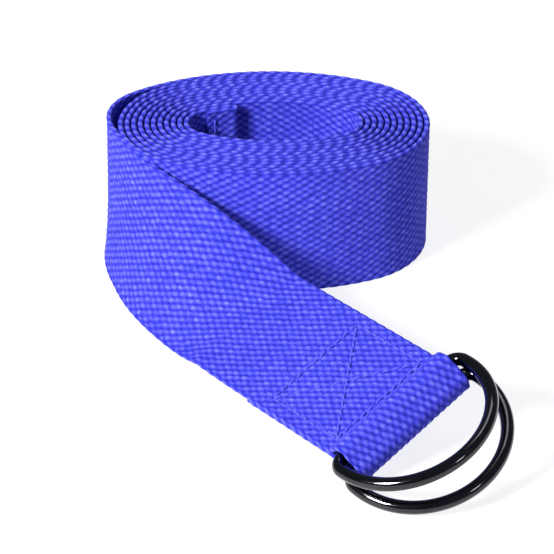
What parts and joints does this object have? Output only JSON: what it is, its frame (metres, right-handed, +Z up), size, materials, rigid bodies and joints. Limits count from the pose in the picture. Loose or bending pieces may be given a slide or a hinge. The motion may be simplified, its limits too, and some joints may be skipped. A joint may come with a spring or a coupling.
{
  "type": "stretching strap",
  "caption": "Long flat woven strap wound on edge into an oval roll, its free end folded round two black wire D-rings and sewn with a box and cross.",
  "frame": {"origin": "centre of the plan outline, on the surface that the strap stands on", "axes": "+Z up, across the web's width as it stands on edge; +X along the roll's longer side; the free end runs to -Y and +X"},
  "size_m": [0.109, 0.1652, 0.0381],
  "materials": {
    "web": "coarse woven cotton, matt",
    "thread": "spun sewing thread, matt",
    "ring_metal": "glossy black plated steel wire"
  },
  "bodies": {
    "roll": {"webbing_roll": "web", "hem_needle_thread": "thread", "hem_bobbin_thread": "thread"},
    "free_end": {"webbing_lead": "web", "loop_needle_thread": "thread", "loop_bobbin_thread": "thread"},
    "upper_ring": {"d_ring_upper": "ring_metal"},
    "lower_ring": {"d_ring_lower": "ring_metal"}
  },
  "joints": [
    {"name": "free_end_swing", "type": "hinge", "parent": "roll", "child": "free_end", "pos_m": [-0.05253, 0.05552, 0.01908], "axis": [0, 0, -1], "range_deg": [0, 55]},
    {"name": "upper_ring_swing", "type": "hinge", "parent": "free_end", "child": "upper_ring", "pos_m": [0.02516, -0.05518, 0.01342], "axis": [-0.7116, -0.6081, -0.3518], "range_deg": [0, 140]},
    {"name": "lower_ring_swing", "type": "hinge", "parent": "free_end", "child": "lower_ring", "pos_m": [0.02829, -0.05722, 0.01061], "axis": [-0.7116, -0.6081, -0.3518], "range_deg": [-130, 0]}
  ]
}
